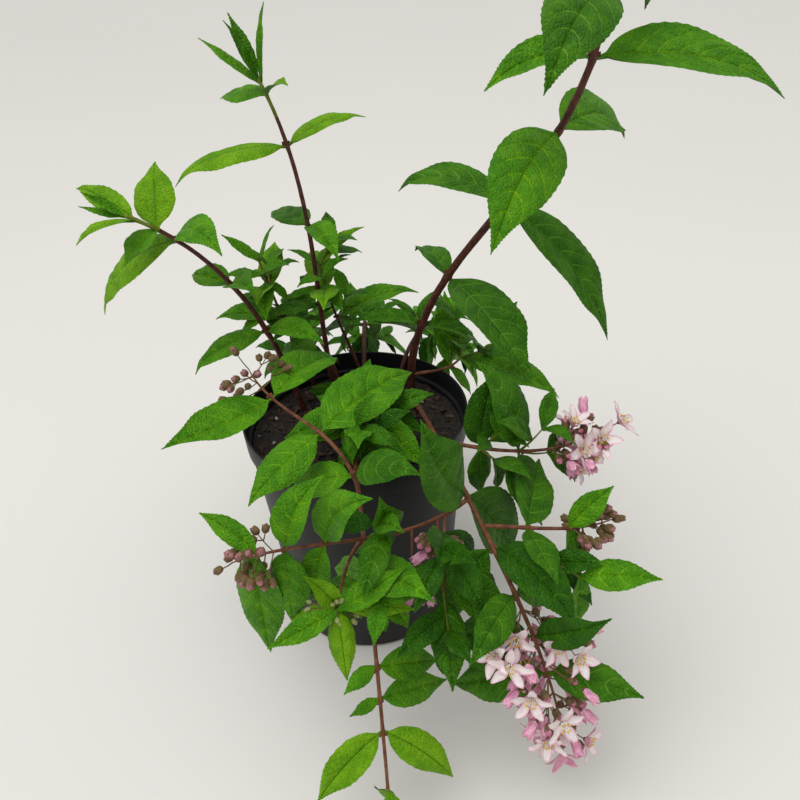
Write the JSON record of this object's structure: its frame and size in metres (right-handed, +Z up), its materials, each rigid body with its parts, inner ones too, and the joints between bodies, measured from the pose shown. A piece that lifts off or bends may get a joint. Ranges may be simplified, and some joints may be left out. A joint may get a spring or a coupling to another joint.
{
  "type": "potted flowering shrub",
  "caption": "Deutzia shrub in a tapered plastic nursery pot: upright and arching stems from the compost, opposite toothed leaves and hanging heads of pink and white flowers and buds",
  "frame": {"origin": "middle of the flat underside of the pot", "axes": "+Z up through the pot's middle; the shrub's flowering side, with the hanging front shoots, faces -Y; the tall right shoot leans to +X"},
  "size_m": [0.438, 0.4778, 0.5612],
  "materials": {
    "pot_plastic": "dull charcoal moulded plastic, faint scuffs and dusty foot",
    "compost": "rough dark compost with bark chips and white grit",
    "bark": "smooth dark red-brown young bark",
    "foliage": "fresh green leaves with a soft sheen, pink buds and blossom"
  },
  "bodies": {
    "root": {"back_bough": "bark", "back_left_bough": "bark", "back_left_lower_foliage": "foliage", "back_left_upper_foliage": "foliage", "back_lower_foliage": "foliage", "back_right_bough": "bark", "back_right_lower_foliage": "foliage", "back_right_upper_foliage": "foliage", "back_upper_foliage": "foliage", "bloom_bough": "bark", "bloom_lower_foliage": "foliage", "bloom_upper_foliage": "foliage", "compost": "compost", "faded_twig_foliage": "foliage", "front_bough": "bark", "front_left_foliage": "foliage", "front_lower_foliage": "foliage", "front_upper_foliage": "foliage", "front_whorl_foliage": "foliage", "inner_bloom_foliage": "foliage", "inner_front_bough": "bark", "inner_front_foliage": "foliage", "inner_left_bough": "bark", "inner_left_foliage": "foliage", "inner_middle_bough": "bark", "inner_middle_foliage": "foliage", "inner_right_foliage": "foliage", "left_bough": "bark", "left_lower_foliage": "foliage", "left_upper_foliage": "foliage", "low_left_foliage": "foliage", "low_right_foliage": "foliage", "pink_twig_foliage": "foliage", "pot": "pot_plastic", "right_foliage": "foliage", "shade_right_foliage": "foliage", "tall_left_bough": "bark", "tall_left_lower_foliage": "foliage", "tall_left_upper_foliage": "foliage", "tall_right_bough": "bark", "tall_right_lower_foliage": "foliage", "tall_right_upper_foliage": "foliage"}
  },
  "joints": []
}
